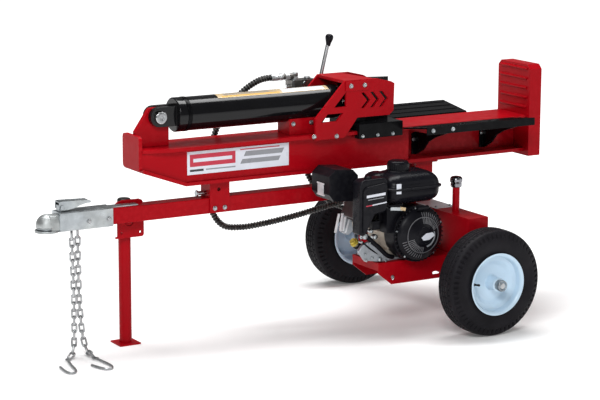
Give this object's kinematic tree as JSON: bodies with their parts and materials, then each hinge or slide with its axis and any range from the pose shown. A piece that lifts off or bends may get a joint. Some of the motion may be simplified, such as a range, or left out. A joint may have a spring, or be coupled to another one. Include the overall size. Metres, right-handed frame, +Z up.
{
  "type": "towable hydraulic log splitter",
  "caption": "Two-wheeled towable log splitter with a tilting horizontal beam, hydraulic ram and wedge, small engine and pump, log trays, hitch coupler and swing-down jack.",
  "frame": {"origin": "centre of the footprint on the ground, without the chains", "axes": "+X from the hitch coupler towards the foot plate, +Y away from the engine's starter side, +Z up"},
  "size_m": [2.122, 1.149, 1.084],
  "materials": {
    "red_paint": "gloss",
    "gloss_black_paint": "gloss",
    "satin_black_paint": "satin",
    "rim_paint": "satin",
    "cast_black": "satin",
    "zinc_plate": "satin",
    "plain_steel": "satin",
    "chrome": "polished",
    "cast_aluminium": "matte",
    "tyre": "matte",
    "black_rubber": "matte",
    "black_plastic": "satin",
    "yellow_plastic": "satin"
  },
  "bodies": {
    "frame": {"axle": "plain_steel", "hydraulic_tank": "red_paint", "tongue_tube": "red_paint", "pivot_post": "red_paint", "pivot_pin": "zinc_plate", "front_support_bracket": "red_paint", "jack_bracket": "red_paint", "engine_platform": "red_paint", "coupler_body": "zinc_plate", "safety_chain_left": "zinc_plate", "safety_chain_right": "zinc_plate", "chain_hook_left": "zinc_plate", "chain_hook_right": "zinc_plate", "crankcase": "cast_aluminium", "cylinder_head": "cast_aluminium", "blower_housing": "satin_black_paint", "recoil_cover": "satin_black_paint", "fuel_tank": "satin_black_paint", "muffler": "satin_black_paint", "air_cleaner": "black_plastic", "pump_bracket": "satin_black_paint", "gear_pump": "cast_aluminium"},
    "near_wheel": {"tyre_near": "tyre", "rim_near": "rim_paint"},
    "far_wheel": {"tyre_far": "tyre", "rim_far": "rim_paint"},
    "beam": {"beam_rail": "red_paint", "pivot_ears": "red_paint", "cylinder_lug": "red_paint", "foot_plate": "red_paint", "cradle_near": "gloss_black_paint", "cradle_far": "gloss_black_paint", "cylinder_barrel": "gloss_black_paint", "cylinder_gland": "gloss_black_paint", "cylinder_pin": "chrome", "cylinder_saddle": "red_paint", "stripper_near": "red_paint", "stripper_far": "red_paint", "stripper_top": "red_paint", "valve_body": "cast_black", "pressure_hose": "black_rubber", "return_hose": "black_rubber"},
    "ram": {"piston_rod": "chrome", "wedge": "gloss_black_paint", "ram_slide": "gloss_black_paint"},
    "lever": {"valve_lever": "gloss_black_paint"},
    "spool": {"valve_spool": "chrome"},
    "jack": {"jack_leg": "red_paint", "jack_cap": "black_rubber"},
    "latch": {"coupler_lever": "zinc_plate"},
    "clamp": {"ball_clamp": "plain_steel"},
    "crank": {"crankshaft": "plain_steel", "flywheel": "cast_aluminium"},
    "breather": {"breather_cap": "chrome"},
    "fuel_filler_cap": {"fuel_cap": "black_plastic"},
    "oil_filler_cap": {"oil_cap": "yellow_plastic"},
    "throttle": {"throttle_lever": "zinc_plate"},
    "grip": {"starter_grip": "black_plastic"},
    "beam_lock": {"lock_pin": "zinc_plate"}
  },
  "joints": [
    {"name": "near_wheel_spin", "type": "hinge", "parent": "frame", "child": "near_wheel", "pos_m": [0.554, -0.4825, 0.202], "axis": [0, 1, 0], "continuous": true},
    {"name": "far_wheel_spin", "type": "hinge", "parent": "frame", "child": "far_wheel", "pos_m": [0.554, 0.4825, 0.202], "axis": [0, 1, 0], "continuous": true},
    {"name": "beam_tilt", "type": "hinge", "parent": "frame", "child": "beam", "pos_m": [0.554, 0, 0.515], "axis": [0, 1, 0], "range_deg": [0, 90], "deforming": ["pressure_hose", "return_hose"]},
    {"name": "ram_stroke", "type": "slide", "parent": "beam", "child": "ram", "axis": [1, 0, 0], "range_m": [0, 0.575]},
    {"name": "lever_swing", "type": "hinge", "parent": "beam", "child": "lever", "pos_m": [0.177, 0.135, 0.869], "axis": [0, 1, 0], "range_deg": [-18, 18], "stiffness_Nm_per_rad": 5},
    {"name": "spool_slide", "type": "slide", "parent": "beam", "child": "spool", "axis": [1, 0, 0], "range_m": [-0.0077, 0.0077]},
    {"name": "jack_swing", "type": "hinge", "parent": "frame", "child": "jack", "pos_m": [-0.68, 0.072, 0.466], "axis": [0, -1, 0], "range_deg": [0, 90]},
    {"name": "latch_lift", "type": "hinge", "parent": "frame", "child": "latch", "pos_m": [-0.966, 0, 0.552], "axis": [0, -1, 0], "range_deg": [0, 60]},
    {"name": "clamp_drop", "type": "slide", "parent": "frame", "child": "clamp", "axis": [0, 0, -1], "range_m": [0, 0.008]},
    {"name": "crank_spin", "type": "hinge", "parent": "frame", "child": "crank", "pos_m": [0.345, -0.18, 0.376], "axis": [0, 1, 0], "continuous": true},
    {"name": "breather_turn", "type": "hinge", "parent": "frame", "child": "breather", "pos_m": [0.568, -0.24, 0.53], "axis": [0, 0, 1], "range_deg": [0, 90]},
    {"name": "fuel_cap_turn", "type": "hinge", "parent": "frame", "child": "fuel_filler_cap", "pos_m": [0.292, -0.256, 0.63], "axis": [0, 0, 1], "range_deg": [0, 90]},
    {"name": "oil_cap_turn", "type": "hinge", "parent": "frame", "child": "oil_filler_cap", "pos_m": [0.18976, -0.124, 0.3182], "axis": [-0.7655, 0, 0.6434], "range_deg": [0, 90]},
    {"name": "throttle_swing", "type": "hinge", "parent": "frame", "child": "throttle", "pos_m": [0.206, -0.326, 0.49], "axis": [0, 1, 0], "range_deg": [-8, 25]},
    {"name": "starter_pull", "type": "slide", "parent": "frame", "child": "grip", "axis": [0, -0.8, 0.6], "range_m": [0, 0.45], "stiffness_N_per_m": 20, "springref_m": -0.1},
    {"name": "beam_lock_slide", "type": "slide", "parent": "frame", "child": "beam_lock", "axis": [1, 0, 0], "range_m": [0, 0.03]}
  ],
  "couplings": [
    {"joint": "spool_slide", "follows": "lever_swing", "m_per_rad": 0.024},
    {"joint": "clamp_drop", "follows": "latch_lift", "m_per_rad": 0.0076}
  ]
}
